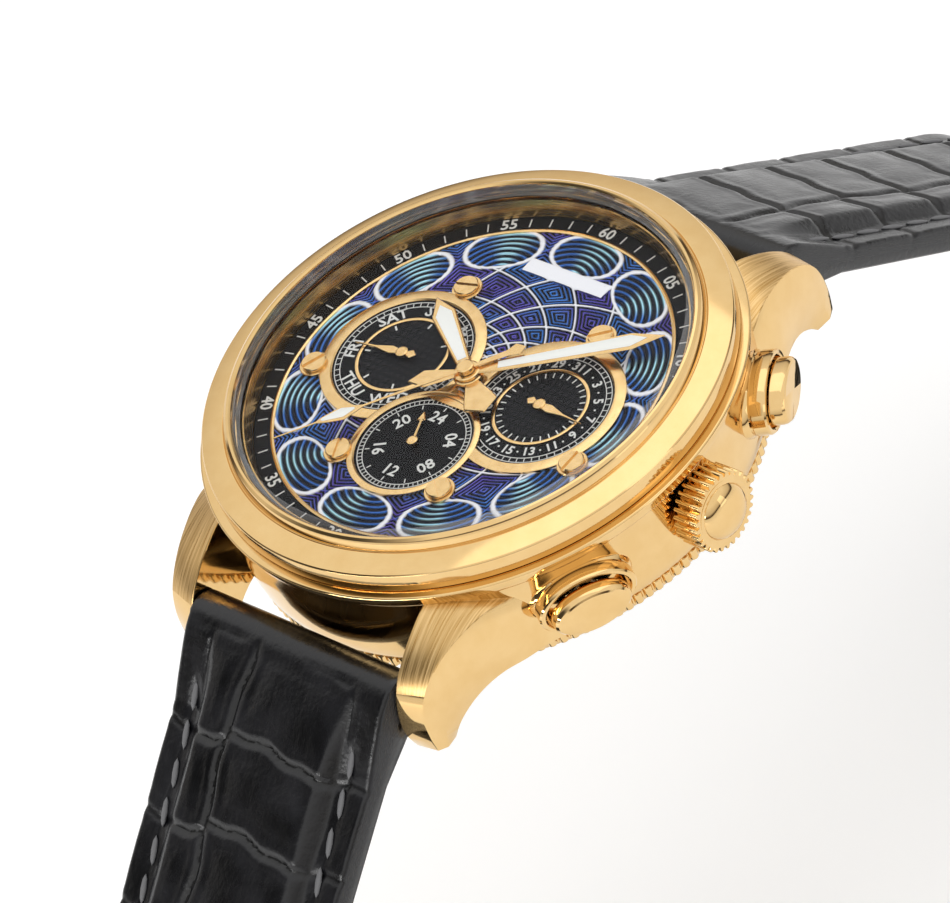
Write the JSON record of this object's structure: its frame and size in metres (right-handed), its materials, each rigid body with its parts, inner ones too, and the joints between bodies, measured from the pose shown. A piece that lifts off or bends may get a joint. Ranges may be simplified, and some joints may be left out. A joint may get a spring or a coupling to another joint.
{
  "type": "wristwatch",
  "caption": "Multi-function wristwatch with day, date and 24-hour sub-dials, crown, pushers, exhibition back and an open leather strap with a pin buckle.",
  "frame": {"origin": "centre of the flat outer face of the case back's window", "axes": "+Z out of the dial, +X to 3 o'clock (the crown), +Y to 12 o'clock"},
  "size_m": [0.0487, 0.1312, 0.0777],
  "materials": {
    "case_steel": "yellow gold plated, brushed and polished",
    "gilt": "gilt, satin",
    "crystal": "clear mineral glass",
    "gasket": "black rubber",
    "black_dial": "black satin with printed markings",
    "blue_dial": "stamped and lacquered metallic blue",
    "leather": "black embossed calf leather",
    "steel": "bright steel",
    "plated_brass": "rhodium plated brass",
    "movement_plastic": "moulded plastic"
  },
  "bodies": {
    "case": {"mid_case": "case_steel", "bezel": "case_steel", "crystal": "crystal", "crystal_gasket": "gasket", "rehaut": "gilt", "chapter_ring": "black_dial", "dial_ring": "gilt", "case_back": "case_steel", "case_back_crystal": "crystal", "case_back_gasket": "gasket", "dial_plate": "blue_dial", "dial_frame": "gilt", "dial_screw_1": "gilt", "dial_screw_2": "gilt", "dial_screw_3": "gilt", "dial_screw_4": "gilt", "dial_screw_5": "gilt", "dial_screw_6": "gilt", "day_subdial": "black_dial", "date_subdial": "black_dial", "hours24_subdial": "black_dial", "day_ring": "gilt", "date_ring": "gilt", "crown_tube": "steel", "pusher_tube_upper": "case_steel", "pusher_tube_lower": "case_steel", "pusher_spring_upper": "steel", "pusher_spring_lower": "steel", "movement_ring": "movement_plastic", "main_plate": "plated_brass", "train_bridge": "plated_brass", "barrel_bridge": "plated_brass", "balance_cock": "plated_brass", "rotor_axle": "steel", "spring_bar_upper": "steel", "spring_bar_lower": "steel"},
    "second_hand": {"second_hand": "gilt"},
    "minute_hand": {"minute_hand": "gilt"},
    "hour_hand": {"hour_hand": "gilt"},
    "hours24_hand": {"hours24_hand": "gilt"},
    "day_hand": {"day_hand": "gilt"},
    "date_hand": {"date_hand": "gilt"},
    "center_wheel": {"center_wheel": "plated_brass"},
    "third_wheel": {"third_wheel": "plated_brass"},
    "escape_wheel": {"escape_wheel": "steel"},
    "mainspring_barrel": {"mainspring_barrel": "plated_brass"},
    "balance_wheel": {"balance_wheel": "gilt"},
    "rotor": {"rotor": "plated_brass"},
    "crown_slide": {"crown_gasket": "gasket"},
    "crown": {"crown": "case_steel", "winding_stem": "steel"},
    "pusher_upper": {"pusher_upper": "case_steel"},
    "pusher_lower": {"pusher_lower": "case_steel"},
    "strap_upper": {"strap_upper": "leather", "keeper_fixed": "leather"},
    "strap_lower": {"strap_lower": "leather"},
    "keeper_free": {"keeper_free": "leather"},
    "buckle": {"buckle": "case_steel", "buckle_bar": "steel"},
    "buckle_tongue": {"buckle_tongue": "case_steel"}
  },
  "joints": [
    {"name": "second_hand_turn", "type": "hinge", "parent": "case", "child": "second_hand", "pos_m": [0, 0, 0.008], "axis": [0, 0, -1], "continuous": true},
    {"name": "minute_hand_turn", "type": "hinge", "parent": "case", "child": "minute_hand", "pos_m": [0, 0, 0.008], "axis": [0, 0, -1], "continuous": true},
    {"name": "hour_hand_turn", "type": "hinge", "parent": "case", "child": "hour_hand", "pos_m": [0, 0, 0.008], "axis": [0, 0, -1], "continuous": true},
    {"name": "hours24_hand_turn", "type": "hinge", "parent": "case", "child": "hours24_hand", "pos_m": [0, -0.0073, 0.008], "axis": [0, 0, -1], "continuous": true},
    {"name": "day_hand_turn", "type": "hinge", "parent": "case", "child": "day_hand", "pos_m": [-0.0075, 0, 0.008], "axis": [0, 0, -1], "continuous": true},
    {"name": "date_hand_turn", "type": "hinge", "parent": "case", "child": "date_hand", "pos_m": [0.0075, 0, 0.008], "axis": [0, 0, -1], "continuous": true},
    {"name": "center_wheel_turn", "type": "hinge", "parent": "case", "child": "center_wheel", "pos_m": [0, 0, 0.008], "axis": [0, 0, -1], "continuous": true},
    {"name": "third_wheel_turn", "type": "hinge", "parent": "case", "child": "third_wheel", "pos_m": [0.0035, -0.00525, 0.008], "axis": [0, 0, -1], "continuous": true},
    {"name": "escape_wheel_turn", "type": "hinge", "parent": "case", "child": "escape_wheel", "pos_m": [0.0064, -0.007, 0.008], "axis": [0, 0, -1], "continuous": true},
    {"name": "mainspring_barrel_turn", "type": "hinge", "parent": "case", "child": "mainspring_barrel", "pos_m": [-0.009, 0.0052, 0.008], "axis": [0, 0, -1], "continuous": true},
    {"name": "balance_wheel_swing", "type": "hinge", "parent": "case", "child": "balance_wheel", "pos_m": [0.0088, 0.0055, 0.005], "axis": [0, 0, 1], "range_deg": [-160, 160], "stiffness_Nm_per_rad": 0.00001},
    {"name": "rotor_turn", "type": "hinge", "parent": "case", "child": "rotor", "pos_m": [0, 0, 0.008], "axis": [0, 0, 1], "continuous": true},
    {"name": "crown_pull", "type": "slide", "parent": "case", "child": "crown_slide", "axis": [1, 0, 0], "range_m": [0, 0.0012]},
    {"name": "crown_turn", "type": "hinge", "parent": "crown_slide", "child": "crown", "pos_m": [0.023, 0, 0.0059], "axis": [1, 0, 0], "continuous": true},
    {"name": "pusher_upper_press", "type": "slide", "parent": "case", "child": "pusher_upper", "axis": [-0.866, -0.5, 0], "range_m": [0, 0.0009], "stiffness_N_per_m": 800, "springref_m": -0.0004, "deforming": ["pusher_spring_upper"]},
    {"name": "pusher_lower_press", "type": "slide", "parent": "case", "child": "pusher_lower", "axis": [-0.866, 0.5, 0], "range_m": [0, 0.0009], "stiffness_N_per_m": 800, "springref_m": -0.0004, "deforming": ["pusher_spring_lower"]},
    {"name": "strap_upper_swing", "type": "hinge", "parent": "case", "child": "strap_upper", "pos_m": [0, 0.02475, 0.0034], "axis": [1, 0, 0], "range_deg": [-20, 36]},
    {"name": "strap_lower_swing", "type": "hinge", "parent": "case", "child": "strap_lower", "pos_m": [0, -0.02475, 0.0034], "axis": [-1, 0, 0], "range_deg": [-20, 36]},
    {"name": "keeper_free_slide", "type": "slide", "parent": "strap_upper", "child": "keeper_free", "axis": [0, 0, 1], "range_m": [-0.0014, 0.004]},
    {"name": "buckle_swing", "type": "hinge", "parent": "strap_upper", "child": "buckle", "pos_m": [0, 0.06519, -0.05453], "axis": [1, 0, 0], "range_deg": [-45, 35]},
    {"name": "buckle_tongue_lift", "type": "hinge", "parent": "buckle", "child": "buckle_tongue", "pos_m": [0, 0.06519, -0.05453], "axis": [1, 0, 0], "range_deg": [0, 60]}
  ],
  "couplings": [
    {"joint": "minute_hand_turn", "follows": "second_hand_turn", "ratio": 0.016667},
    {"joint": "hour_hand_turn", "follows": "second_hand_turn", "ratio": 0.0013889},
    {"joint": "hours24_hand_turn", "follows": "second_hand_turn", "ratio": 0.00069444},
    {"joint": "center_wheel_turn", "follows": "second_hand_turn", "ratio": 0.016667},
    {"joint": "third_wheel_turn", "follows": "second_hand_turn", "ratio": -0.125},
    {"joint": "escape_wheel_turn", "follows": "second_hand_turn", "ratio": -10},
    {"joint": "mainspring_barrel_turn", "follows": "second_hand_turn", "ratio": -0.0020833}
  ]
}
